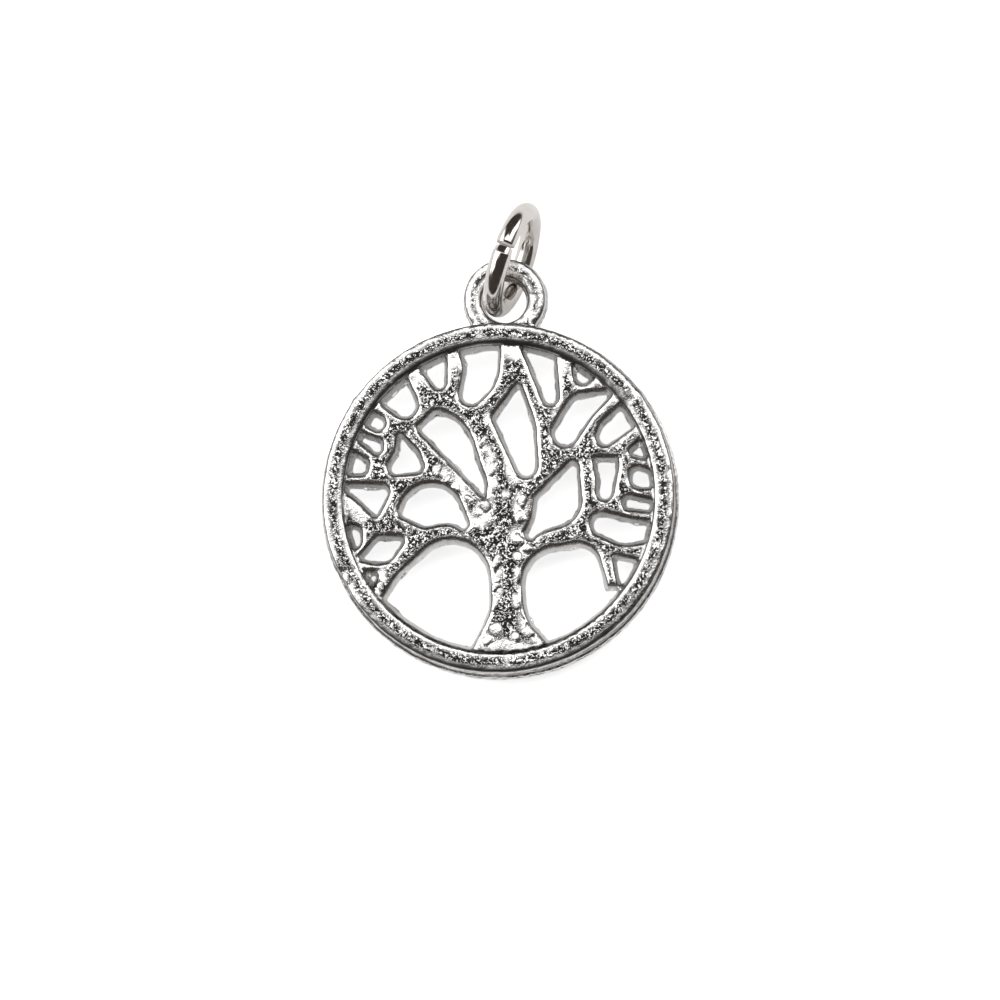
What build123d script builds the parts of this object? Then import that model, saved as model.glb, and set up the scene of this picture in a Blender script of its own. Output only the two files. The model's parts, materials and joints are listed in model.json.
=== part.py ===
from build123d import *
import math
import os

# Tree of life pendant lying face up, in millimetres.
# +Z is up from the surface that it lies on, +Y runs from the tree's roots to the eye.
# The origin is the middle of the whole part's underside.
# The casting is modelled flat, with its parting plane at Z = 0 and the rim's centre on the Z axis,
# and the jump ring is threaded through its eye. Both are then laid down together at the end.

# Rim: a round band with walls drafted both ways from the parting plane
rim_outer_radius = 8.78
rim_width = 0.955
casting_thickness = 2.0
rim_outer_draft_width = 0.08
rim_inner_draft_width = 0.3
edge_rounding = 0.15

# Seam: a low flat-topped band round the rim, off its middle by the play between the mould's halves
seam_width = 0.11
seam_crest_height = 0.4
seam_foot_height = 0.72
seam_root_depth = 0.26
seam_drop = 0.07
seam_sideways = 0.03

# Tree: a pierced web inside the rim, lower than the rim's faces
tree_recess = 0.3
branch_draft_width = 0.2
branch_lip_width = 0.14
branch_lip_drop = 0.05
sharpest_corner = 0.05
web_overlap = 0.3

# Eye at the top: its hole touches the rim's outer edge, and its band is widest at the top
eye_hole_radius = 1.2
eye_band_width = 0.8
eye_band_rise = 0.06
eye_recess = 0.12
eye_draft_width = 0.16
eye_sideways = 0.35

# Jump ring of round wire, with a fine saw cut
ring_outer_diameter = 6.0
ring_wire = 1.0
ring_cut_width = 0.15
ring_cut_angle = -5.0
ring_turn = 20.0
ring_tip = 6.7
ring_sideways = 0.4
ring_foot_gap = 0.2
ring_seat_gap = 0.06

rim_inner_radius = rim_outer_radius - rim_width
half_thickness = casting_thickness / 2
tree_half = half_thickness - tree_recess
eye_half = half_thickness - eye_recess
web_radius = rim_inner_radius + web_overlap
eye_reach = rim_outer_radius + eye_hole_radius
eye_band_radius = eye_hole_radius + eye_band_width
ring_mean_radius = (ring_outer_diameter - ring_wire) / 2
ring_inner_radius = ring_mean_radius - ring_wire / 2

# The gaps between the branches, as seen from the front.
# Each gap is drawn by a belt round a few circles, listed anticlockwise. A row is a circle:
#   across, up:  its centre from the middle of the rim
#   rounding:    its radius, below zero where the belt passes inside it and a branch swells into the gap
# All are hundredths of the rim's inner radius. Circles past 100 lie under the rim, which closes the gap.
gap_circles = {
    "crown_left": [
        (1.2, 106.5, 1.5),
        (-28.0, 105.5, 1.5),
        (-42.5, 83.5, -19.5),
        (-17.5, 68.0, 8.5),
        (-27.3, 86.3, 28.7),
    ],
    "crown_left_cup": [
        (-33.9, 101.0, 1.5),
        (-54.1, 90.7, 1.5),
        (-38.0, 75.4, 5.4),
    ],
    "crown_left_round": [
        (-62.5, 85.0, 1.5),
        (-83.5, 69.5, 1.5),
        (-60.0, 61.0, 9.3),
    ],
    "crown_right": [
        (35.1, 101.6, 1.9),
        (12.8, 105.4, 1.9),
        (33.2, 64.9, 6.2),
    ],
    "crown_right_bead": [
        (48.2, 94.6, 1.9),
        (54.0, 78.6, 6.6),
        (70.9, 83.1, 1.9),
    ],
    "left_bead": [
        (-87.5, 59.0, 1.5),
        (-92.5, 53.0, 1.5),
        (-77.5, 49.5, 5.8),
    ],
    "left_slot": [
        (-95.0, 44.5, 2.3),
        (-78.0, 33.5, 4.7),
        (-77.3, 36.0, 3.9),
    ],
    "left_lower_bead": [
        (-100.0, 34.5, 1.5),
        (-104.0, 16.5, 1.5),
        (-87.3, 19.5, 4.2),
        (-86.3, 23.0, 4.2),
    ],
    "left_triangle": [
        (-62.3, 39.5, 3.2),
        (-79.0, 34.5, -12.5),
        (-65.8, 20.8, 5.7),
        (-52.4, 21.4, 5.2),
        (-56.5, 26.8, 7.2),
    ],
    "left_blade": [
        (-39.0, 51.8, 6.0),
        (-49.8, 45.7, 2.9),
        (-8.8, 0.3, 1.3),
        (-12.1, 10.2, 5.1),
        (1.6, 25.0, -12.8),
        (-43.6, 28.6, 29.3),
    ],
    "left_fan": [
        (-105.2, 9.6, 1.5),
        (-115.9, -29.2, -37.8),
        (-78.9, -7.6, 3.8),
        (-74.4, 4.8, 5.3),
    ],
    "left_arch": [
        (-43.1, -10.5, 21.4),
        (-59.8, -8.3, 4.8),
        (-47.3, -11.5, 7.2),
        (-33.5, -26.7, -10.0),
        (-23.1, -16.0, 4.6),
    ],
    "left_drop": [
        (-103.5, -14.7, 2.2),
        (-99.2, -34.2, 2.5),
        (-92.6, -26.2, 5.7),
        (-91.2, -21.1, 4.6),
    ],
    "left_leaf": [
        (-63.9, -27.2, 4.0),
        (-74.8, -30.2, 7.3),
        (-87.2, -37.0, 2.5),
        (-78.6, -34.0, 7.6),
        (-72.8, -33.2, 7.6),
    ],
    "left_nick": [
        (-91.0, -46.9, 1.3),
        (-82.5, -61.5, 1.3),
        (-80.0, -48.9, 3.4),
    ],
    "ground_left": [
        (-30.7, -51.8, 26.0),
        (-50.6, -61.0, 19.2),
        (-78.6, -72.8, 1.9),
        (-23.0, -105.4, 1.9),
        (-30.4, -66.5, 25.9),
    ],
    "heart": [
        (12.8, 70.9, 2.9),
        (1.3, 50.8, 5.7),
        (17.6, 20.4, 8.0),
        (-1.0, 42.2, 25.6),
    ],
    "right_sickle": [
        (75.1, 68.7, 1.3),
        (55.0, 54.3, 13.1),
        (42.8, 41.5, 9.4),
        (88.6, 27.5, -36.9),
    ],
    "right_fan": [
        (83.7, 62.3, 1.9),
        (73.2, 42.7, 9.6),
        (68.4, 39.0, 6.8),
        (93.3, 50.5, 1.9),
    ],
    "right_nick": [
        (98.7, 42.6, 1.9),
        (86.6, 28.7, 3.6),
        (104.2, 23.4, 1.9),
    ],
    "right_drop": [
        (104.8, 12.5, 1.9),
        (88.8, 13.7, 5.9),
        (90.4, 12.1, 7.6),
        (106.1, 6.7, 1.9),
    ],
    "right_tongue": [
        (62.0, 23.6, 2.2),
        (49.2, 9.6, -12.7),
        (67.7, 3.5, 6.2),
        (64.5, 20.4, 12.7),
        (75.1, 23.6, 2.2),
    ],
    "right_slot": [
        (106.1, -5.4, 1.6),
        (83.1, -2.6, 4.1),
        (83.4, -4.2, 5.0),
        (106.1, -9.6, 1.6),
    ],
    "right_pear": [
        (47.3, 18.9, 4.6),
        (28.1, -2.6, 6.4),
        (-0.6, -5.8, -22.0),
        (20.4, -23.0, 4.5),
        (34.5, -33.2, -12.2),
        (35.5, -1.6, 17.9),
    ],
    "right_leaf": [
        (106.1, -19.2, 1.9),
        (91.4, -1.9, -13.1),
        (65.8, -17.6, 8.1),
        (81.8, -12.5, 19.2),
        (100.3, -27.2, 1.9),
    ],
    "right_fang": [
        (96.5, -43.8, 1.9),
        (75.1, -40.3, 2.9),
        (78.9, -68.4, 1.9),
    ],
    "stub_end": [
        (64.0, -60.4, 3.2),
        (67.0, -76.5, 1.9),
        (83.5, -64.0, 1.9),
        (77.0, -58.8, 2.4),
    ],
    "ground_right": [
        (50.5, -44.7, 15.3),
        (37.7, -55.0, 23.6),
        (46.6, -64.5, 31.9),
        (39.6, -101.0, 1.9),
        (72.8, -74.1, 1.9),
    ],
}


def side_normal(first, second):
    """Unit normal, pointing out of the gap, of the straight side between two circles of a belt."""
    run = Vector(second[0] - first[0], second[1] - first[1])
    along = run.normalized()
    right = Vector(along.Y, -along.X)
    lean = (first[2] - second[2]) / run.length
    return along * lean + right * math.sqrt(1 - lean**2)


def belt_wire(circles, inset, height):
    """Closed wire of the belt round the circles, moved into the gap by the inset, at a height."""
    count = len(circles)
    normals = [side_normal(circles[i], circles[(i + 1) % count]) for i in range(count)]
    corners = []
    for i, (across, up, radius) in enumerate(circles):
        before, after = normals[i - 1], normals[i]
        centre = Vector(across, up)
        moved = radius - inset
        if 0 < radius and moved < sharpest_corner:
            centre += (before + after) * (moved - sharpest_corner) / (1 + before.dot(after))
            moved = sharpest_corner
        turn = before.get_signed_angle(after, Vector(0, 0, 1))
        if radius < 0:
            turn = -abs(turn)
        elif turn < 0:
            turn += 360
        middle = before.rotate(Axis.Z, turn / 2)
        corners.append([centre + normal * moved for normal in (before, middle, after)])
    edges = []
    for i, (start, middle, end) in enumerate(corners):
        edges.append(Edge.make_three_point_arc(start, middle, end))
        edges.append(Edge.make_line(end, corners[(i + 1) % count][0]))
    return Wire(edges).moved(Location((0, 0, height)))


def gap_cutter(rows):
    """Solid that pierces one gap: narrowest at the parting plane, flared where branch edges roll over."""
    unit = rim_inner_radius / 100
    circles = [(across * unit, up * unit, rounding * unit) for across, up, rounding in rows]
    lip_foot = tree_half - branch_lip_drop
    beyond_face = tree_half + branch_lip_drop
    levels = [
        (-beyond_face, -2 * branch_lip_width),
        (-lip_foot, 0),
        (0, branch_draft_width),
        (lip_foot, 0),
        (beyond_face, -2 * branch_lip_width),
    ]
    sections = [belt_wire(circles, inset, height) for height, inset in levels]
    return Solid.make_loft(sections, ruled=True)


def rounded_at_faces(outline, half_height):
    """Outline of a band's section with the corners at its two faces rounded."""
    corners = outline.vertices().filter_by(lambda vertex: abs(vertex.Y) > half_height - edge_rounding)
    return fillet(corners, edge_rounding)


def rim_band():
    """Round band with drafted walls."""
    outline = Polygon(
        (rim_inner_radius, -half_thickness),
        (rim_outer_radius, -half_thickness),
        (rim_outer_radius + rim_outer_draft_width, 0),
        (rim_outer_radius, half_thickness),
        (rim_inner_radius, half_thickness),
        (rim_inner_radius - rim_inner_draft_width, 0),
        align=None,
    )
    return revolve(Plane.XZ * rounded_at_faces(outline, half_thickness), Axis.Z)


def seam():
    """Flat-topped band whose sloping flanks start inside the rim."""
    wall_foot = rim_outer_radius + rim_outer_draft_width
    root = wall_foot - seam_root_depth
    crest = wall_foot + seam_width
    crest_half = seam_crest_height / 2
    flank_slope = (seam_foot_height / 2 - crest_half) / seam_width
    root_half = crest_half + flank_slope * (crest - root)
    outline = Polygon(
        (root, -root_half),
        (crest, -crest_half),
        (crest, crest_half),
        (root, root_half),
        align=None,
    )
    return Pos(seam_sideways, -seam_drop, 0) * revolve(Plane.XZ * outline, Axis.Z)


def eye_band():
    """Drafted disc with a drafted hole below its middle, both with rounded edges."""
    outline = Polygon(
        (0, -eye_half),
        (eye_band_radius, -eye_half),
        (eye_band_radius + eye_draft_width, 0),
        (eye_band_radius, eye_half),
        (0, eye_half),
        align=None,
    )
    disc = Pos(0, eye_band_rise, 0) * revolve(Plane.XZ * outline, Axis.Z)
    hole_outline = Polygon(
        (0, -eye_half),
        (eye_hole_radius, -eye_half),
        (eye_hole_radius - eye_draft_width, 0),
        (eye_hole_radius, eye_half),
        (0, eye_half),
        align=None,
    )
    band = disc - revolve(Plane.XZ * hole_outline, Axis.Z)
    rims = band.edges().filter_by(GeomType.CIRCLE)
    rims = rims.filter_by(lambda edge: abs(edge.center().Z) > eye_half - edge_rounding)
    return fillet(rims, edge_rounding)


def tree_casting():
    """Rim, pierced tree and eye, poured as one piece."""
    web = Cylinder(web_radius, 2 * tree_half)
    tree = web - [gap_cutter(rows) for rows in gap_circles.values()]
    return tree + rim_band() + seam() + Pos(eye_sideways, eye_reach, 0) * eye_band()


def jump_ring_plane():
    """Plane of the jump ring in the casting's frame: its wire passes under the eye and just clears it."""
    turn = math.radians(ring_turn)
    tip = math.radians(ring_tip)
    normal = Vector(math.cos(turn) * math.cos(tip), -math.sin(turn) * math.cos(tip), math.sin(tip))
    steepest = (Vector(0, 0, 1) - normal * normal.Z).normalized()
    foot = rim_outer_radius + ring_foot_gap + ring_wire
    centre_up = foot + ring_inner_radius
    band_edge = centre_up - eye_reach - eye_hole_radius
    centre_height = math.sqrt(ring_inner_radius**2 - band_edge**2) - eye_half - ring_seat_gap
    centre = Vector(ring_sideways + eye_sideways, centre_up, centre_height)
    return Plane(origin=centre, x_dir=steepest, z_dir=normal)


def jump_ring(plane):
    """Round wire bent into a ring, open by a saw cut near its highest point."""
    cut_angle = math.degrees(ring_cut_width / ring_mean_radius)
    section = Plane.XZ * Pos(ring_mean_radius, 0) * Circle(ring_wire / 2)
    wire = revolve(section, Axis.Z, 360 - cut_angle)
    return plane * Rot(0, 0, ring_cut_angle + cut_angle / 2) * wire


def laid_down(casting, ring, plane):
    """Both pieces turned so that the rim's lower edge and the ring's foot touch one level surface."""
    edge_slope = math.atan(rim_outer_draft_width / half_thickness)
    edge_inset = edge_rounding * math.tan((math.pi / 2 - edge_slope) / 2)
    rim_contact = rim_outer_radius - edge_inset
    ring_foot = plane.origin - plane.x_dir * ring_mean_radius
    reach = math.hypot(ring_foot.X, ring_foot.Y)
    drop = ring_wire / 2 - ring_foot.Z
    lift = math.asin((drop - half_thickness) / (reach + rim_contact))
    level_axis = Axis((0, 0, 0), (ring_foot.Y, -ring_foot.X, 0))
    laid = [piece.rotate(level_axis, math.degrees(lift)) for piece in (casting, ring)]
    box = Compound(laid).bounding_box()
    to_origin = Pos(-box.center().X, -box.center().Y, -box.min.Z)
    return [to_origin * piece for piece in laid]


ring_plane = jump_ring_plane()
laid_casting, laid_ring = laid_down(tree_casting(), jump_ring(ring_plane), ring_plane)

os.makedirs("parts", exist_ok=True)
export_step(laid_casting, "parts/tree_casting.step")
export_step(laid_ring, "parts/jump_ring.step")
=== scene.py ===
"""Looks of a small cast charm, a bare tree inside a round rim, lying face up with its jump ring."""

import json
import math

import bpy
import numpy as np
from mathutils import Matrix, Vector
from mathutils.kdtree import KDTree

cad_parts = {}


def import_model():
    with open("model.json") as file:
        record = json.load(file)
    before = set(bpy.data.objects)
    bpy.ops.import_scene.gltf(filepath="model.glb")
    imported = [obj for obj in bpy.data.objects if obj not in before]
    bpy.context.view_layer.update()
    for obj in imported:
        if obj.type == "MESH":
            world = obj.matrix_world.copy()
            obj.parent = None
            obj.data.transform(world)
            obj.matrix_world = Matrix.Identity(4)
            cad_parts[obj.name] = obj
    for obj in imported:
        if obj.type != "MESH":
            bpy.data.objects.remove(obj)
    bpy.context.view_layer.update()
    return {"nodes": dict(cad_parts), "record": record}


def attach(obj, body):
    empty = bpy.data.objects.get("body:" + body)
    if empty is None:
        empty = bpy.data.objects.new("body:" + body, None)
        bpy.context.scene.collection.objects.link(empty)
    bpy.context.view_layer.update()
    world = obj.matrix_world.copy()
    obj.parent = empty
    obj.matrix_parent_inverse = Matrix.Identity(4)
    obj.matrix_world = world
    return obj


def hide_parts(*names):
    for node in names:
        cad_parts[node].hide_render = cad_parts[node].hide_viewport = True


MM = 0.001

# Mesh of the casting: voxel size in millimetres, most triangles and rounds of smoothing
VOXEL = 0.062
MOST_TRIANGLES = 190000
EDGE_SMOOTHING = 3
WELD_DISTANCE = 0.0005

# The casting's own sizes, in millimetres
RIM_OUTER_RADIUS = 8.78
RIM_INNER_RADIUS = 7.825
TREE_RECESS = 0.3
EYE_RECESS = 0.12
SEAM_SIDEWAYS = 0.03
SEAM_DROP = 0.07

# Unevenness of faces, walls and lips, in millimetres
FACE_WAVE = 0.014
WALL_WAVE = 0.016
LIP_WAVE = 0.02

# How level a surface is, from 0 on an upright wall to 1 on a face: where the walls end and the faces start
WALLS_END = 0.75
FACES_START = 0.95

# Edges of the walls: vertices more level than an upright wall that stand out this far in millimetres
# from their neighbours, and the distance given to vertices that have none
UPRIGHT = 0.25
LEAST_BULGE = 0.0015
FAR_FROM_EDGES = 9.0

# Worn lip beside every edge, in millimetres, and the power of its curve
LIP_WIDTH = 0.22
LIP_DEPTH = 0.05
LIP_CURVE = 1.7
RIM_LIP_GROWTH = 0.05
EYE_LIP_GROWTH = 0.05

# Painted dark outline along every edge, standing in for a dark reflection, and antique patina with painted
# shade in the corner between tree and rim, in millimetres
OUTLINE_REACH = 0.04
RIM_OUTLINE_REACH = 0.08
OUTLINE_HEIGHT = 0.42
HOLLOW_REACH = 0.24

# The corner holds most dark at the roots: how far up the tree it thins out and where it is full
ROOTS_START = -4.5
ROOTS_FULL = -6.0

# Painted shade on the rim's edges, as radii where the dark starts and is full: the outer edge at the bottom
# and the inner edge at the top
SHADED_OUTER_EDGE = (8.4, 8.54)
SHADED_INNER_EDGE = (8.12, 8.02)
SHADE = 0.85

# Bark: the share of its listed rise that a lump has, the share of that on the back, how far its
# outline wanders in millimetres, the power of its dome and the share of its height that is outlined
LUMP_RISE = 0.6
BACK_LUMP_SHARE = 0.5
LUMP_BEND = 0.13
LUMP_FLATNESS = 0.3
LUMP_FOOT = (0.08, 0.72)

# Beads of the seam, the groove beside it and the ledge on the inner walls, in millimetres, and
# where the outer wall starts, as shares of the outermost radius
OUTER_WALL_STARTS = 0.955
OUTER_WALL_FULL = 0.975
BEAD_SIZE = 0.17
SEAM_BEAD = 0.12
SEAM_HALF_HEIGHT = 0.26
GROOVE_DEPTH = 0.05
GROOVE_HEIGHT = 0.37
GROOVE_HALF_HEIGHT = 0.09
LEDGE_WIDTH = 0.09
LEDGE_HALF_HEIGHT = 0.14

# Hammered lumps of bark: across and up from the rim's centre, half width, half length,
# lean from upright in degrees and height, all as seen from the front in millimetres
BARK_LUMPS = [
    (-3.10, 1.50, 0.16, 0.34, 35, 0.05),
    (-2.60, 1.00, 0.18, 0.26, 40, 0.05),
    (-2.10, 0.52, 0.24, 0.26, 30, 0.07),
    (-1.46, -0.07, 0.26, 0.24, 0, 0.08),
    (-0.65, -0.42, 0.34, 0.30, 60, 0.08),
    (-0.25, 0.60, 0.22, 0.40, -10, 0.07),
    (-0.30, 1.45, 0.20, 0.36, 10, 0.06),
    (-0.17, 2.05, 0.20, 0.36, 25, 0.06),
    (-0.80, 2.85, 0.18, 0.34, 30, 0.05),
    (0.40, 0.10, 0.24, 0.38, 10, 0.06),
    (1.18, -0.19, 0.25, 0.36, -5, 0.10),
    (1.12, -1.00, 0.24, 0.30, 5, 0.10),
    (1.00, -2.07, 0.25, 0.30, 0, 0.09),
    (1.42, -2.55, 0.24, 0.26, 0, 0.09),
    (0.90, -3.00, 0.24, 0.26, 0, 0.08),
    (1.00, -3.85, 0.22, 0.40, -5, 0.08),
    (-0.10, -3.25, 0.24, 0.42, 5, 0.08),
    (-0.17, -4.43, 0.28, 0.24, 0, 0.08),
    (-0.23, -5.25, 0.26, 0.48, 5, 0.07),
    (0.90, -5.15, 0.28, 0.48, -5, 0.07),
    (1.30, -5.75, 0.25, 0.34, -15, 0.07),
    (-0.17, -6.60, 0.34, 0.36, 10, 0.07),
    (1.48, -6.70, 0.36, 0.36, -10, 0.08),
    (0.85, -6.95, 0.26, 0.30, 0, 0.07),
    (-0.60, -7.15, 0.26, 0.20, 0, 0.05),
    (-6.20, -3.95, 0.30, 0.22, 40, 0.07),
    (-5.90, -4.35, 0.24, 0.20, 40, 0.06),
    (2.35, -1.55, 0.18, 0.30, 70, 0.05),
    (-1.60, -2.10, 0.20, 0.30, 80, 0.04),
]

# Worn smooth places, bare of grain: across, up, half width, half length and lean from upright in degrees,
# as seen from the front in millimetres
BARE_PATCHES = [
    (-0.60, -7.15, 0.36, 0.45, 25),
    (-0.35, -4.60, 0.15, 1.10, 0),
    (1.00, -5.25, 0.34, 0.46, 0),
    (1.60, -6.50, 0.46, 0.95, -36),
    (0.40, -7.35, 1.10, 0.24, 0),
    (-0.10, -3.70, 0.26, 0.50, 0),
    (-0.05, -4.75, 0.20, 0.40, 10),
    (1.12, -0.60, 0.36, 0.78, 3),
    (0.95, -1.85, 0.36, 0.42, 0),
    (1.40, -2.65, 0.34, 0.36, 0),
    (1.05, -4.10, 0.32, 0.62, 0),
    (-0.80, -0.75, 0.50, 0.75, 30),
    (-0.35, 0.95, 0.30, 1.05, -5),
    (-0.45, 2.00, 0.22, 0.70, -15),
    (0.72, 1.30, 0.40, 0.62, -25),
    (-1.85, 0.45, 0.26, 0.80, -35),
    (-2.75, 1.35, 0.22, 0.50, -45),
    (-7.15, -0.50, 0.35, 0.70, -30),
    (-6.00, -4.00, 0.40, 0.70, 20),
    (-6.75, -3.40, 0.30, 0.30, 0),
    (-4.15, 6.10, 0.40, 0.42, 0),
    (-2.25, 6.95, 0.36, 0.40, 0),
    (0.75, 7.35, 0.50, 0.42, 0),
    (3.25, 6.60, 0.26, 0.55, 5),
    (4.45, 5.65, 0.20, 0.65, 80),
    (5.90, 5.05, 0.30, 0.42, 40),
    (-6.15, 4.70, 0.42, 0.40, 0),
    (-6.30, 3.35, 0.36, 0.26, 40),
    (-0.40, 4.10, 0.24, 0.50, 10),
    (2.90, 4.20, 0.24, 0.28, 0),
    (-7.77, -3.75, 0.24, 0.34, 15),
    (-7.45, -4.40, 0.20, 0.30, 20),
    (-7.05, -4.95, 0.20, 0.24, 30),
    (-0.95, 8.20, 0.16, 0.14, 0),
    (6.65, 4.95, 0.26, 0.34, 40),
    (-1.35, 9.00, 0.30, 0.40, 20),
    (1.85, 9.00, 0.30, 0.40, -20),
]

# Marks left on the rim by the mould and by trimming: across, up, reach and push outwards, in millimetres
RIM_MARKS = [
    (-7.28, 5.08, 0.22, 0.07),
    (-7.75, -3.75, 0.42, -0.10),
    (-7.50, -4.35, 0.36, -0.09),
    (7.05, 5.05, 0.30, 0.06),
    (6.62, 4.72, 0.34, -0.07),
    (5.05, 7.10, 0.25, 0.04),
]

# Jump ring: the two ends are nipped by the saw cut, in millimetres
NIP_LENGTHS = (0.30, 0.07)
NIP_DEPTHS = (0.15, 0.04)
NIP_OVERRUN = 0.25
NIP_UNDERSIDE = 0.35
WIRE_SIDES = 56
RING_STEPS = 220

# Cast grain: noise blobs per millimetre, the share of each size, how far the grain thins and thickens
# over the casting, where its dark flecks start and end, and its relief in millimetres
COARSE_GRAIN = 7.0
FINE_GRAIN = 14.0
COARSE_SHARE = 0.55
FINE_SHARE = 0.45
GRAIN_DRIFT = 2.6
DRIFT_REACH = 0.035
FLECKS_FULL = 0.51
FLECKS_END = 0.546
GRAIN_RELIEF = 0.025

# Roughness of worn metal, from its brightest to its dullest, and what the dark adds
CASTING_ROUGHNESS = (0.13, 0.25)
DARK_ROUGHNESS = 0.2
WIRE_ROUGHNESS = (0.09, 0.2)

# How dark each mark gets
GROOVE_PATINA_AND_SHADE_DARK = 0.95
CORNER_PATINA_AND_SHADE_DARK = 1.0
PAINTED_OUTLINE_AND_SHADE_DARK = 0.85
WALL_SHADE_DARK = 1.0

# Colours, each with its alpha
BRIGHT_CASTING = (0.94, 0.93, 0.92, 1)
DULL_CASTING = (0.88, 0.87, 0.86, 1)
DARK_PATINA_AND_PAINTED_SHADE = (0.03, 0.027, 0.025, 1)
BRIGHT_WIRE = (0.80, 0.77, 0.74, 1)
DULL_WIRE = (0.70, 0.66, 0.62, 1)
FLOOR_TONES = ((0.93, 0.93, 0.93, 1), (0.91, 0.91, 0.91, 1))
TENT_SIDE = (2.0, 2.0, 2.0, 1)
TENT_TOP = (1.7, 1.7, 1.7, 1)
TENT_DARK = (0.05, 0.042, 0.037, 1)
BACKDROP = (0.9, 0.9, 0.9, 1)

# Camera: degrees that it leans from straight above, its distance, the width that it sees and
# its aim beside the rim's centre in millimetres
CAMERA_TOWARDS_FRONT = 10.8
CAMERA_TOWARDS_RIGHT = 3.8
CAMERA_DISTANCE = 350
FIELD_WIDTH = 49.8
AIM_FROM_RIM_CENTRE = (0.10, -0.15)
SENSOR = 36

# Floor: its half width and how far it lies below the charm, in millimetres, its own glow and what is
# added where the camera sees it
FLOOR_HALF_WIDTH = 300
FLOOR_DROP = 0.01
FLOOR_GLOW = 0.22
FLOOR_GLOW_SEEN = 0.6

# Dark back of the tent: how far it runs right and left for each step away, and its height
BACK_RIGHT_END = 1.19
BACK_LEFT_END = 0.78
BACK_TOP = 0.8
BACK_TOP_BLUR = 0.07

# Softboxes: name, place, width and height in millimetres, and power in watts
SOFTBOXES = [
    ("key", (-290, -40, 230), 200, 160, 0.2),
    ("fill", (280, 120, 220), 220, 160, 0.16),
]


def smooth_step(low, high, values):
    """0 below low, 1 above high and an eased ramp between."""
    share = np.clip((values - low) / (high - low), 0, 1)
    return share * share * (3 - 2 * share)


def soft_noise(points, size, seed):
    """Smooth random values from -1 to 1, in blobs about as wide as size."""
    grid = points / size + 31.7 * seed + 500
    cell = np.floor(grid).astype(np.int64)
    ease = smooth_step(0, 1, grid - cell)
    total = np.zeros(len(points))
    for step in np.ndindex(2, 2, 2):
        corner = (cell + step) * (73856093, 19349663, 83492791)
        code = (corner[:, 0] ^ corner[:, 1] ^ corner[:, 2]) & 0xFFFFFFFF
        code = ((code ^ (code >> 15)) * 2246822519) & 0xFFFFFFFF
        code = ((code ^ (code >> 13)) * 3266489917) & 0xFFFFFFFF
        value = ((code ^ (code >> 16)) & 0xFFFFFFFF) / 2**31 - 1
        total += value * np.prod(np.where(step, ease, 1 - ease), axis=1)
    return total


def read_points(mesh, name="co"):
    """Vertex positions or normals of a mesh as rows."""
    values = np.zeros(len(mesh.vertices) * 3, np.float32)
    mesh.vertices.foreach_get(name, values)
    return values.reshape(-1, 3).astype(float)


def write_points(mesh, points):
    """Sets the vertex positions of a mesh from rows."""
    mesh.vertices.foreach_set("co", points.astype(np.float32).ravel())
    mesh.update()


def with_modifiers(mesh, *settings):
    """A new mesh: the old one with a stack of modifiers applied, each a type and its values."""
    holder = bpy.data.objects.new("holder", mesh)
    bpy.context.scene.collection.objects.link(holder)
    for kind, values in settings:
        modifier = holder.modifiers.new(kind, kind)
        for key, value in values.items():
            setattr(modifier, key, value)
    bpy.context.view_layer.update()
    evaluated = holder.evaluated_get(bpy.context.evaluated_depsgraph_get())
    result = bpy.data.meshes.new_from_object(evaluated)
    bpy.data.objects.remove(holder)
    return result


def shade_smooth(mesh):
    mesh.polygons.foreach_set("use_smooth", np.ones(len(mesh.polygons), bool))


def show(name, mesh, node):
    """A visible piece that stands for a node of the frame."""
    piece = bpy.data.objects.new(name, mesh)
    bpy.context.scene.collection.objects.link(piece)
    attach(piece, "root")
    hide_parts(node)
    return piece


def casting_frame(node):
    """Turn and centre of the casting: its middle plane, the rim's centre and straight up towards the eye."""
    mesh = node.data
    count = len(mesh.polygons)
    normals = np.zeros(count * 3, np.float32)
    areas = np.zeros(count, np.float32)
    mesh.polygons.foreach_get("normal", normals)
    mesh.polygons.foreach_get("area", areas)
    normals = normals.reshape(-1, 3)
    top = normals[:, 2] > 0.97
    face = Vector((normals[top] * areas[top, None]).sum(0)).normalized()
    right = Vector((0, 1, 0)).cross(face).normalized()
    turn = Matrix((right, face.cross(right), face)).transposed()
    flat = read_points(mesh) @ np.array(turn)
    low, high = flat.min(0), flat.max(0)
    radius = (high[0] - low[0]) / 2
    off_seam = np.array((-SEAM_SIDEWAYS, SEAM_DROP)) * MM
    centre = Vector((*(low[:2] + radius + off_seam), (low[2] + high[2]) / 2))
    return turn.to_4x4() @ Matrix.Translation(centre), radius / MM, (high[2] - low[2]) / 2 / MM


def lean_offsets(places, across, up, lean):
    """How far each place is beside and along a line through a point that leans from upright."""
    angle = math.radians(lean)
    offset = places - (across, up)
    along = offset[:, 1] * math.cos(angle) + offset[:, 0] * math.sin(angle)
    beside = offset[:, 0] * math.cos(angle) - offset[:, 1] * math.sin(angle)
    return beside, along


def bark_lumps(points):
    """Height of the bark lumps over the flat tree, and how far each place is up its lump, from 0 to 1."""
    height = np.zeros(len(points))
    share = np.zeros(len(points))
    bend = np.stack((soft_noise(points, 0.3, seed=5), soft_noise(points, 0.3, seed=13)), axis=1)
    places = points[:, :2] + LUMP_BEND * bend
    for across, up, half_width, half_length, lean, rise in BARK_LUMPS:
        beside, along = lean_offsets(places, across, up, lean)
        inside = np.clip(1 - (beside / half_width) ** 2 - (along / half_length) ** 2, 0, 1)
        height = np.maximum(height, rise * inside**LUMP_FLATNESS)
        share = np.maximum(share, np.sqrt(inside))
    return height * LUMP_RISE, share


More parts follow.
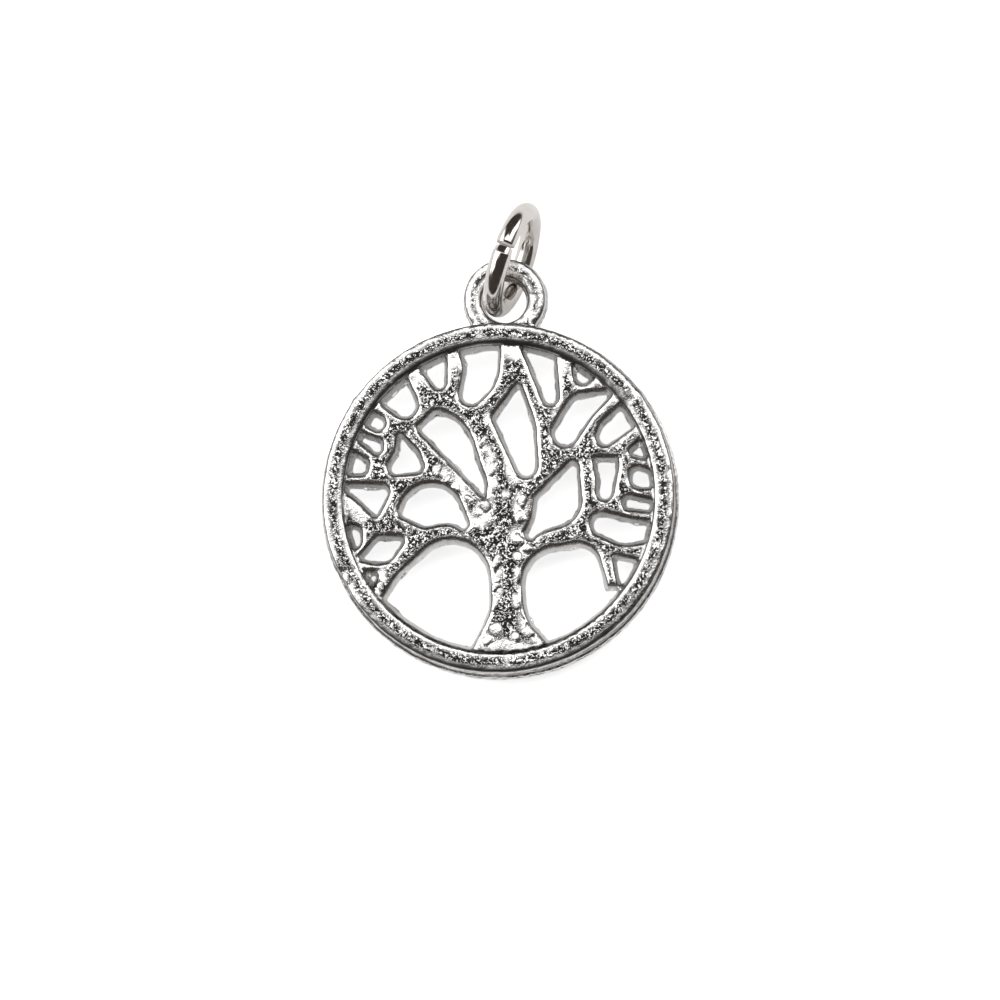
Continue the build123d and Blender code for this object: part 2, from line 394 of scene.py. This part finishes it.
def bare_share(points):
    """How bare of grain each place is, from 0 to 1."""
    places = points[:, :2] + soft_noise(points, 0.3, seed=11)[:, None] * (0.09, -0.07)
    share = np.zeros(len(points))
    for across, up, half_width, half_length, lean in BARE_PATCHES:
        beside, along = lean_offsets(places, across, up, lean)
        reach = np.hypot(beside / half_width, along / half_length)
        share = np.maximum(share, smooth_step(1.15, 0.85, reach))
    return share * (points[:, 2] > 0)


def distance_from_edges(mesh, points, normals):
    """Distance, in plan, of each vertex from the nearest upper edge of a wall."""
    edges = np.zeros(len(mesh.edges) * 2, np.int32)
    mesh.edges.foreach_get("vertices", edges)
    first, second = edges.reshape(-1, 2).T
    sums = np.zeros_like(points)
    counts = np.zeros(len(points))
    for here, there in ((first, second), (second, first)):
        np.add.at(sums, here, points[there])
        np.add.at(counts, here, 1)
    bulge = np.einsum("ij,ij->i", points - sums / counts[:, None], normals)
    level = np.abs(normals[:, 2])
    distances = np.full(len(points), FAR_FROM_EDGES)
    for side in (1, -1):
        facing = normals[:, 2] * side > 0
        edge = facing & (level > UPRIGHT) & (level < 0.6) & (bulge > LEAST_BULGE)
        tree = KDTree(int(edge.sum()))
        for index, point in enumerate(points[edge]):
            tree.insert((point[0], point[1], 0), index)
        tree.balance()
        for index in np.flatnonzero(facing & (level >= UPRIGHT)):
            distances[index] = tree.find((points[index, 0], points[index, 1], 0))[2]
    return distances


def roll_edges(mesh, half_thickness):
    """Wears the edges of every face down to a wide soft lip. Returns the distance from the edges."""
    points = read_points(mesh)
    distances = distance_from_edges(mesh, points, read_points(mesh, "normal"))
    height = np.abs(points[:, 2])
    radii = np.hypot(points[:, 0], points[:, 1])
    on_tree = (height < half_thickness - TREE_RECESS + 0.05) & (radii < RIM_INNER_RADIUS)
    on_eye = (radii > RIM_OUTER_RADIUS) & (points[:, 1] > RIM_INNER_RADIUS)
    on_rim_face = ~on_tree & ~on_eye & (height > half_thickness - 0.25)
    from_rim_edge = np.abs(RIM_OUTER_RADIUS - radii)
    distances = np.where(on_rim_face, np.minimum(distances, from_rim_edge), distances)
    waved = distances + LIP_WAVE * soft_noise(points, 0.5, seed=3)
    drop = LIP_DEPTH * np.clip(1 - waved / LIP_WIDTH, 0, 1) ** LIP_CURVE
    level = half_thickness - np.select([on_tree, on_eye], [TREE_RECESS, EYE_RECESS], 0)
    rolled = np.where(distances < FAR_FROM_EDGES - 1, np.minimum(height, level - drop), height)
    points[:, 2] = np.sign(points[:, 2]) * rolled
    write_points(mesh, points)
    return distances


class Surface:
    """The casting's vertices, with what each is part of: face, wall, tree, seam or bark."""

    def __init__(self, mesh, radius, half_thickness):
        self.half_thickness = half_thickness
        self.distances = roll_edges(mesh, half_thickness)
        self.points = read_points(mesh)
        self.normals = read_points(mesh, "normal")
        self.tall = np.abs(self.points[:, 2])
        self.radii = np.hypot(self.points[:, 0], self.points[:, 1])
        self.flat = smooth_step(WALLS_END, FACES_START, np.abs(self.normals[:, 2]))
        self.wall = 1 - self.flat
        self.on_tree = smooth_step(0.02, 0.1, half_thickness - self.tall)
        self.on_tree *= self.radii < RIM_INNER_RADIUS + 0.1
        self.off_tree = self.radii > RIM_INNER_RADIUS - 0.1
        self.lump_height, self.lump_share = bark_lumps(self.points)
        self.bareness = bare_share(self.points)
        self.outer_wall = self.wall * smooth_step(OUTER_WALL_STARTS, OUTER_WALL_FULL, self.radii / radius)
        self.from_parting = np.abs(self.points[:, 2] + 0.05 * soft_noise(self.points, 0.7, seed=6))
        self.seam = np.clip(1.6 - 1.6 * self.from_parting / SEAM_HALF_HEIGHT, 0, 1)
        self.beads = soft_noise(self.points, BEAD_SIZE, seed=4)
        self.groove = np.clip(1 - np.abs(self.tall - GROOVE_HEIGHT) / GROOVE_HALF_HEIGHT, 0, 1)

    def moved(self):
        """Places of the vertices after mould, melt and trimming have left their marks."""
        points, flat, wall = self.points, self.flat, self.wall
        move = FACE_WAVE * flat * soft_noise(points, 0.28, seed=1)
        move += WALL_WAVE * wall * soft_noise(points * (1, 1, 0.45), 0.3, seed=2)
        bark = self.lump_height * flat * self.on_tree
        move += bark * (points[:, 2] > 0) + BACK_LUMP_SHARE * bark * (points[:, 2] < 0)
        move += SEAM_BEAD * self.outer_wall * self.seam * np.clip(self.beads - 0.35, -1, 0)
        move -= GROOVE_DEPTH * self.outer_wall * self.groove
        ledge = np.sqrt(np.clip(1 - self.from_parting / LEDGE_HALF_HEIGHT, 0, 1))
        ledge *= np.clip(0.3 + 1.3 * soft_noise(points, 0.45, seed=8), 0, 1) * (0.7 + 0.5 * self.beads)
        move += LEDGE_WIDTH * ledge * wall * (self.radii < RIM_INNER_RADIUS)
        for across, up, reach, push in RIM_MARKS:
            distance = np.hypot(points[:, 0] - across, points[:, 1] - up)
            move += push * np.exp(-((distance / reach) ** 2))
        return points + self.normals * move[:, None]

    def grain(self):
        """Cast grain: on the flats, short of the lips and off the bark and the worn places."""
        from_edge = self.distances + 0.04 * soft_noise(self.points, 0.16, seed=7)
        on_eye = self.radii > RIM_OUTER_RADIUS + 0.1
        from_edge -= RIM_LIP_GROWTH * self.off_tree + EYE_LIP_GROWTH * on_eye
        bark = self.lump_share * self.on_tree + 0.25 * soft_noise(self.points, 0.3, seed=9)
        bare = np.maximum(smooth_step(0.25, 0.6, bark) * self.on_tree, self.bareness)
        return self.flat * smooth_step(0.7 * LIP_WIDTH, LIP_WIDTH, from_edge) * (1 - 0.95 * bare)

    def corner_patina_and_shade(self):
        """Antique patina with painted shade in the corner between tree and rim and at the foot of the bark
        lumps.
        """
        # Patina with painted shade in the corner beside the rim, most at the roots
        from_rim = RIM_INNER_RADIUS - self.radii + 0.05 * self.beads
        dark = smooth_step(HOLLOW_REACH, 0.6 * HOLLOW_REACH, from_rim)
        dark *= self.radii < RIM_INNER_RADIUS + 0.06
        below_face = self.half_thickness - self.tall
        dark *= (below_face > 0.03) & (below_face < TREE_RECESS + 0.06)
        dark *= 0.35 + 0.65 * smooth_step(ROOTS_START, ROOTS_FULL, self.points[:, 1])
        dark *= 1 - 0.8 * self.bareness * (self.points[:, 1] > ROOTS_FULL)
        # Patina with painted shade at the foot of each bark lump
        low, high = LUMP_FOOT
        foot = smooth_step(0, low, self.lump_share) * smooth_step(high, 0.7 * high, self.lump_share)
        foot *= self.flat * self.on_tree * smooth_step(-0.4, 0.2, soft_noise(self.points, 0.5, seed=12))
        return np.maximum(dark, foot)

    def painted_outline_and_shade(self, level):
        """Painted dark outline of every edge, standing in for a dark reflection, and painted shade on the
        rim's edges that face away from the light.
        """
        reach = np.where(self.off_tree, RIM_OUTLINE_REACH, OUTLINE_REACH) * (1 + 0.2 * self.beads)
        dark = smooth_step(reach, 0.6 * reach, self.distances)
        # Painted dark reflection on surfaces that slope between a face and a wall
        dark += smooth_step(0.3, 0.4, level) * smooth_step(0.72, 0.6, level)
        # Painted shade on the rim's outer edge at the bottom and its inner edge at the top
        away = self.points[:, 1] / self.radii
        in_shade = smooth_step(*SHADED_OUTER_EDGE, self.radii) * smooth_step(0.45, 0.85, -away)
        inner_shade = smooth_step(*SHADED_INNER_EDGE, self.radii) * smooth_step(0.35, 0.75, away)
        in_shade += inner_shade * self.off_tree
        return np.clip(dark + SHADE * in_shade, 0, 1) * (self.tall > OUTLINE_HEIGHT) * (level > 0.28)

    def wall_painted_shade(self, level):
        """Painted shade on the walls inside the rim, darker towards the front face."""
        # Painted shade on the inner walls, stronger towards the front face
        dark = smooth_step(0.55, 0.4, level) * (self.radii < RIM_INNER_RADIUS + 0.05)
        dark *= 0.8 + 0.3 * self.beads
        return dark * (0.05 + 0.35 * smooth_step(-0.2, 0.6, self.points[:, 2]))

    def groove_patina_and_shade(self):
        """Antique patina with painted shade in the groove beside the seam and between the seam's beads."""
        # Patina with painted shade along the groove and in the gaps between beads
        seam_gaps = self.seam * smooth_step(0.15, -0.2, self.beads)
        return self.outer_wall * np.maximum(self.groove, seam_gaps)


def weather(mesh, radius, half_thickness):
    """Moves the surface of the casting as mould, melt and trimming left it, and marks grain, patina and
    painted shade.
    """
    surface = Surface(mesh, radius, half_thickness)
    write_points(mesh, surface.moved())
    level = np.abs(read_points(mesh, "normal")[:, 2])
    # Grain, and dark marks of patina, painted shade and painted outlines, kept on the vertices
    marks = {
        "grain": surface.grain(),
        "groove": surface.groove_patina_and_shade(),
        "corner_patina_and_shade": surface.corner_patina_and_shade(),
        "painted_outline_and_shade": surface.painted_outline_and_shade(level),
        "wall_painted_shade": surface.wall_painted_shade(level),
    }
    for name, values in marks.items():
        mesh.attributes.new(name, "FLOAT", "POINT").data.foreach_set("value", values.astype(np.float32))


def build_casting(node, place, radius, half_thickness):
    """Detailed casting in the place of its solid."""
    mesh = node.data.copy()
    mesh.transform(place.inverted())
    mesh.transform(Matrix.Scale(1 / MM, 4))
    mesh = with_modifiers(
        mesh,
        ("WELD", {"merge_threshold": WELD_DISTANCE}),
        ("REMESH", {"mode": "VOXEL", "voxel_size": VOXEL}),
        ("SMOOTH", {"factor": 0.5, "iterations": EDGE_SMOOTHING}),
    )
    weather(mesh, radius, half_thickness)
    mesh.calc_loop_triangles()
    share = min(1, MOST_TRIANGLES / len(mesh.loop_triangles))
    mesh = with_modifiers(mesh, ("DECIMATE", {"ratio": share, "use_collapse_triangulate": True}))
    mesh.transform(Matrix.Scale(MM, 4))
    mesh.transform(place)
    shade_smooth(mesh)
    return show("antiqued_tree_casting", mesh, node.name)


def ring_shape(node, mount):
    """Centre, axis, radii and the two ends' angles of the jump ring, read from its solid."""
    centre = np.array(mount["pos_m"])
    axis = np.array(mount["axis"])
    axis = axis / np.linalg.norm(axis)
    steepest = np.array((0, 0, 1)) - axis * axis[2]
    steepest = steepest / np.linalg.norm(steepest)
    forward = np.cross(axis, steepest)
    if forward[1] > 0:
        axis, forward = -axis, -forward
    points = read_points(node.data) - centre
    wire = np.abs(points @ axis).max()
    outer = np.linalg.norm(points, axis=1).max()
    ends = []
    for face in node.data.polygons:
        offset = np.array(face.center) - centre
        angle = math.atan2(offset @ forward, offset @ steepest)
        tangent = forward * math.cos(angle) - steepest * math.sin(angle)
        if abs(np.array(face.normal) @ tangent) > 0.99:
            ends.append(angle)
    return centre, (steepest, forward, axis), outer - wire, wire, min(ends), max(ends)


def ring_shares(nip_shares):
    """Shares of the ring's sweep that get a circle of vertices, closer together at both nipped ends."""
    first, last = nip_shares
    shares = [0, 0.0006, 0.002]
    shares += [share * first for share in (0.35, 0.7, 0.9, 0.97, 1.03, 1.15)]
    shares += list(np.linspace(first * 1.6, 1 - last * 2, RING_STEPS))
    shares += [1 - share * last for share in (1.15, 1.03, 0.97, 0.7, 0.35)]
    shares += [0.9985, 0.9996, 1.0]
    return sorted(set(shares))


def build_ring(node, mount):
    """Round wire bent into a ring, with both ends nipped."""
    centre, directions, mean, wire, first_end, last_end = ring_shape(node, mount)
    steepest, forward, axis = directions
    sweep = 2 * math.pi - (last_end - first_end)
    nip_shares = [length * MM / (mean * sweep) for length in NIP_LENGTHS]
    shares = ring_shares(nip_shares)
    vertices, faces = [], []
    for share in shares:
        angle = last_end + share * sweep
        outward = steepest * math.cos(angle) + forward * math.sin(angle)
        from_ends = (share / nip_shares[0], (1 - share) / nip_shares[1])
        nip = 0
        for depth, past in zip(NIP_DEPTHS, from_ends):
            if past < 1:
                nip += depth * MM * (1 + NIP_OVERRUN - past)
        for side in range(WIRE_SIDES):
            turn = 2 * math.pi * side / WIRE_SIDES
            facing = outward * math.cos(turn) + axis * math.sin(turn)
            cut = nip * (NIP_UNDERSIDE + (1 - NIP_UNDERSIDE) * max(0, math.cos(turn)))
            vertices.append(centre + outward * mean + facing * (wire - cut))
    for circle in range(len(shares) - 1):
        near, far = circle * WIRE_SIDES, (circle + 1) * WIRE_SIDES
        for side in range(WIRE_SIDES):
            after = (side + 1) % WIRE_SIDES
            faces.append((near + side, near + after, far + after, far + side))
    faces.append(tuple(range(WIRE_SIDES))[::-1])
    last = (len(shares) - 1) * WIRE_SIDES
    faces.append(tuple(range(last, last + WIRE_SIDES)))
    mesh = bpy.data.meshes.new("plated_jump_ring")
    mesh.from_pydata([tuple(v) for v in vertices], [], faces)
    mesh.validate()
    shade_smooth(mesh)
    for face in mesh.polygons:
        if face.loop_total > 4:
            face.use_smooth = False
    return show("plated_jump_ring", mesh, node.name)


class Nodes:
    """Short way to add nodes to a node tree and join them."""

    def __init__(self, tree):
        self.tree = tree
        tree.nodes.clear()

    def add(self, kind, inputs=None, **settings):
        node = self.tree.nodes.new(kind)
        for key, value in settings.items():
            setattr(node, key, value)
        for key, value in (inputs or {}).items():
            if isinstance(value, bpy.types.NodeSocket):
                self.tree.links.new(value, node.inputs[key])
            else:
                node.inputs[key].default_value = value
        return node

    def maths(self, operation, first, second):
        """Result of a sum on two values."""
        return self.add("ShaderNodeMath", {0: first, 1: second}, operation=operation).outputs[0]

    def ramp(self, value, low, high, start=0.0, end=1.0):
        """Eased change from start to end as value goes from low to high."""
        node = self.add(
            "ShaderNodeMapRange",
            {"Value": value, "From Min": low, "From Max": high, "To Min": start, "To Max": end},
            interpolation_type="SMOOTHSTEP",
        )
        return node.outputs[0]

    def blend(self, share, first, second):
        """Colour between two, by share."""
        node = self.add("ShaderNodeMix", data_type="RGBA")
        for socket, value in zip((0, 6, 7), (share, first, second)):
            if isinstance(value, bpy.types.NodeSocket):
                self.tree.links.new(value, node.inputs[socket])
            else:
                node.inputs[socket].default_value = value
        return node.outputs[2]

    def noise(self, vector, scale, detail=2.0):
        """Smooth random values around a half, scale blobs to the millimetre."""
        inputs = {"Vector": vector, "Scale": scale, "Detail": detail}
        return self.add("ShaderNodeTexNoise", inputs).outputs["Fac"]

    def millimetres(self):
        """Place on the object, in millimetres."""
        place = self.add("ShaderNodeTexCoord").outputs["Object"]
        node = self.add("ShaderNodeVectorMath", {0: place}, operation="SCALE")
        node.inputs["Scale"].default_value = 1 / MM
        return node.outputs[0]

    def mark(self, name):
        """Value that the mesh holds for each vertex under a name."""
        return self.add("ShaderNodeAttribute", attribute_name=name).outputs["Fac"]


def new_material(name):
    material = bpy.data.materials.new(name)
    material.use_nodes = True
    return material, Nodes(material.node_tree)


def casting_material():
    """Antiqued zinc casting: grainy flats, worn bright edges, patina with painted shade in the hollows,
    painted dark outlines on the edges and painted shade on the inner walls.
    """
    material, nodes = new_material("antiqued_casting")
    place = nodes.millimetres()
    grain = nodes.mark("grain")
    groove = nodes.mark("groove")
    corner_patina_and_shade = nodes.mark("corner_patina_and_shade")
    painted_outline_and_shade = nodes.mark("painted_outline_and_shade")
    wall_painted_shade = nodes.mark("wall_painted_shade")
    coarse = nodes.noise(place, COARSE_GRAIN, 1.0)
    fine = nodes.noise(place, FINE_GRAIN, 2.0)
    drift = nodes.noise(place, GRAIN_DRIFT, 1.0)
    soft = nodes.noise(place, 1.6, 2.0)
    coarse_part = nodes.maths("MULTIPLY", coarse, COARSE_SHARE)
    speck = nodes.maths("ADD", coarse_part, nodes.maths("MULTIPLY", fine, FINE_SHARE))
    speck = nodes.maths("ADD", speck, nodes.ramp(drift, 0.3, 0.7, DRIFT_REACH, -DRIFT_REACH))
    domes = nodes.ramp(speck, 0.42, 0.60)
    blobs = nodes.ramp(speck, FLECKS_FULL, FLECKS_END)
    grain_height = nodes.maths("MULTIPLY", domes, grain)
    wall_height = nodes.maths("MULTIPLY", fine, nodes.ramp(grain, 0.0, 1.0, 0.25, 0.0))
    lump_height = nodes.maths("MULTIPLY", soft, 1.5)
    relief = nodes.maths("ADD", nodes.maths("ADD", grain_height, wall_height), lump_height)
    bump = nodes.add("ShaderNodeBump", {"Height": relief, "Strength": 1.0, "Distance": GRAIN_RELIEF * MM})
    flecks = nodes.maths("SUBTRACT", 1.0, blobs)
    dark = nodes.maths("MULTIPLY", flecks, nodes.maths("MAXIMUM", grain, 0.06))
    patches = nodes.ramp(nodes.noise(place, 2.3, 3.0), 0.5, 0.62)
    corner_patina_and_shade = nodes.maths("MULTIPLY", corner_patina_and_shade, nodes.ramp(patches, 0.0, 1.0, 1.0, 0.8))
    # Patina with painted shade in corner and groove, and painted dark outlines and shade on edges and walls,
    # all darken the metal here
    marks = ((groove, GROOVE_PATINA_AND_SHADE_DARK), (corner_patina_and_shade, CORNER_PATINA_AND_SHADE_DARK), (painted_outline_and_shade, PAINTED_OUTLINE_AND_SHADE_DARK), (wall_painted_shade, WALL_SHADE_DARK))
    for mark, strength in marks:
        dark = nodes.maths("MAXIMUM", dark, nodes.maths("MULTIPLY", mark, strength))
    metal = nodes.blend(soft, BRIGHT_CASTING, DULL_CASTING)
    # One dark colour for the patina and for the painted shade
    colour = nodes.blend(dark, metal, DARK_PATINA_AND_PAINTED_SHADE)
    roughness = nodes.ramp(fine, 0.3, 0.7, *CASTING_ROUGHNESS)
    roughness = nodes.maths("ADD", roughness, nodes.maths("MULTIPLY", dark, DARK_ROUGHNESS))
    shader = nodes.add(
        "ShaderNodeBsdfPrincipled",
        {"Base Color": colour, "Metallic": 1.0, "Roughness": roughness, "Normal": bump.outputs[0]},
    )
    nodes.add("ShaderNodeOutputMaterial", {"Surface": shader.outputs[0]})
    return material


def ring_material():
    """Plated wire: smooth, slightly warm, with faint drawing marks and handling haze."""
    material, nodes = new_material("plated_wire")
    place = nodes.millimetres()
    haze = nodes.noise(place, 1.8, 3.0)
    marks = nodes.noise(place, 24.0, 2.0)
    bump = nodes.add("ShaderNodeBump", {"Height": marks, "Strength": 0.25, "Distance": 0.002 * MM})
    colour = nodes.blend(haze, BRIGHT_WIRE, DULL_WIRE)
    roughness = nodes.ramp(haze, 0.35, 0.65, *WIRE_ROUGHNESS)
    shader = nodes.add(
        "ShaderNodeBsdfPrincipled",
        {"Base Color": colour, "Metallic": 1.0, "Roughness": roughness, "Normal": bump.outputs[0]},
    )
    nodes.add("ShaderNodeOutputMaterial", {"Surface": shader.outputs[0]})
    return material


def build_floor():
    """Plain pale floor just below the charm. The camera sees it as bright as an overexposed sheet."""
    half = FLOOR_HALF_WIDTH * MM
    mesh = bpy.data.meshes.new("floor")
    corners = [(-half, -half, 0), (half, -half, 0), (half, half, 0), (-half, half, 0)]
    mesh.from_pydata(corners, [], [(0, 1, 2, 3)])
    floor = bpy.data.objects.new("floor", mesh)
    floor.location.z = -FLOOR_DROP * MM
    bpy.context.scene.collection.objects.link(floor)
    material, nodes = new_material("pale_floor")
    place = nodes.millimetres()
    tone = nodes.blend(nodes.noise(place, 0.02), *FLOOR_TONES)
    seen = nodes.add("ShaderNodeLightPath").outputs["Is Camera Ray"]
    glow = nodes.maths("ADD", nodes.maths("MULTIPLY", seen, FLOOR_GLOW_SEEN), FLOOR_GLOW)
    shader = nodes.add(
        "ShaderNodeBsdfPrincipled",
        {"Base Color": tone, "Roughness": 0.8, "Emission Color": tone, "Emission Strength": glow},
    )
    nodes.add("ShaderNodeOutputMaterial", {"Surface": shader.outputs[0]})
    mesh.materials.append(material)


def build_world():
    """A pale tent, dark in front where the photographer stands, near the floor and low down at the back."""
    world = bpy.data.worlds.new("studio")
    bpy.context.scene.world = world
    world.use_nodes = True
    nodes = Nodes(world.node_tree)
    direction = nodes.add("ShaderNodeTexCoord").outputs["Generated"]
    across, away, up = nodes.add("ShaderNodeSeparateXYZ", {0: direction}).outputs
    above = nodes.ramp(up, 0.05, 0.15)
    in_front = nodes.maths("SUBTRACT", away, nodes.maths("MULTIPLY", across, 0.25))
    tent = nodes.maths("MULTIPLY", above, nodes.ramp(in_front, -0.04, 0.1))
    right_end = nodes.maths("SUBTRACT", nodes.maths("MULTIPLY", away, BACK_RIGHT_END), across)
    left_end = nodes.maths("ADD", nodes.maths("MULTIPLY", away, BACK_LEFT_END), across)
    back = nodes.maths("MULTIPLY", nodes.ramp(right_end, -0.04, 0.04), nodes.ramp(left_end, -0.05, 0.15))
    back = nodes.maths("MULTIPLY", back, nodes.ramp(up, BACK_TOP, BACK_TOP + BACK_TOP_BLUR, 1.0, 0.0))
    tent = nodes.maths("MULTIPLY", tent, nodes.maths("SUBTRACT", 1.0, back))
    pale = nodes.blend(nodes.ramp(up, 0.6, 1.0), TENT_SIDE, TENT_TOP)
    colour = nodes.blend(tent, TENT_DARK, pale)
    seen = nodes.add("ShaderNodeLightPath").outputs["Is Camera Ray"]
    colour = nodes.blend(seen, colour, BACKDROP)
    background = nodes.add("ShaderNodeBackground", {"Color": colour, "Strength": 1.0})
    nodes.add("ShaderNodeOutputWorld", {"Surface": background.outputs[0]})


def softbox(name, place, width, height, power):
    """Rectangular area light aimed at the charm."""
    light = bpy.data.lights.new(name, "AREA")
    light.shape = "RECTANGLE"
    light.size = width * MM
    light.size_y = height * MM
    light.energy = power
    lamp = bpy.data.objects.new(name, light)
    lamp.location = Vector(place) * MM
    lamp.rotation_euler = lamp.location.to_track_quat("Z", "Y").to_euler()
    bpy.context.scene.collection.objects.link(lamp)


def build_camera(place, half_thickness):
    """Camera above the charm at the photo's angle, aimed beside the rim's centre."""
    face_centre = place @ Vector((0, 0, half_thickness * MM))
    aim = face_centre + Vector((*AIM_FROM_RIM_CENTRE, 0)) * MM
    lean = Vector(
        (
            math.tan(math.radians(CAMERA_TOWARDS_RIGHT)),
            -math.tan(math.radians(CAMERA_TOWARDS_FRONT)),
            1,
        )
    ).normalized()
    right = Vector((0, 1, 0)).cross(lean).normalized()
    data = bpy.data.cameras.new("camera")
    data.sensor_width = SENSOR
    data.lens = SENSOR * CAMERA_DISTANCE / FIELD_WIDTH
    data.clip_start = 0.01
    data.clip_end = 10
    camera = bpy.data.objects.new("camera", data)
    turn = Matrix((right, lean.cross(right), lean)).transposed()
    camera.matrix_world = Matrix.Translation(aim + lean * CAMERA_DISTANCE * MM) @ turn.to_4x4()
    bpy.context.scene.collection.objects.link(camera)
    bpy.context.scene.camera = camera


def main():
    """Loads the frame, dresses both nodes, sets the stage and the camera, and hands over."""
    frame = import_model()
    nodes = frame["nodes"]
    place, radius, half_thickness = casting_frame(nodes["tree_casting"])
    casting = build_casting(nodes["tree_casting"], place, radius, half_thickness)
    casting.data.materials.clear()
    casting.data.materials.append(casting_material())
    mounts = {mount["name"]: mount for mount in frame["record"]["mounts"]}
    ring = build_ring(nodes["jump_ring"], mounts["jump_ring_bore"])
    ring.data.materials.append(ring_material())
    build_floor()
    build_world()
    for settings in SOFTBOXES:
        softbox(*settings)
    build_camera(place, half_thickness)
    view = bpy.context.scene.view_settings
    view.view_transform = "Standard"
    view.look = "None"


main()
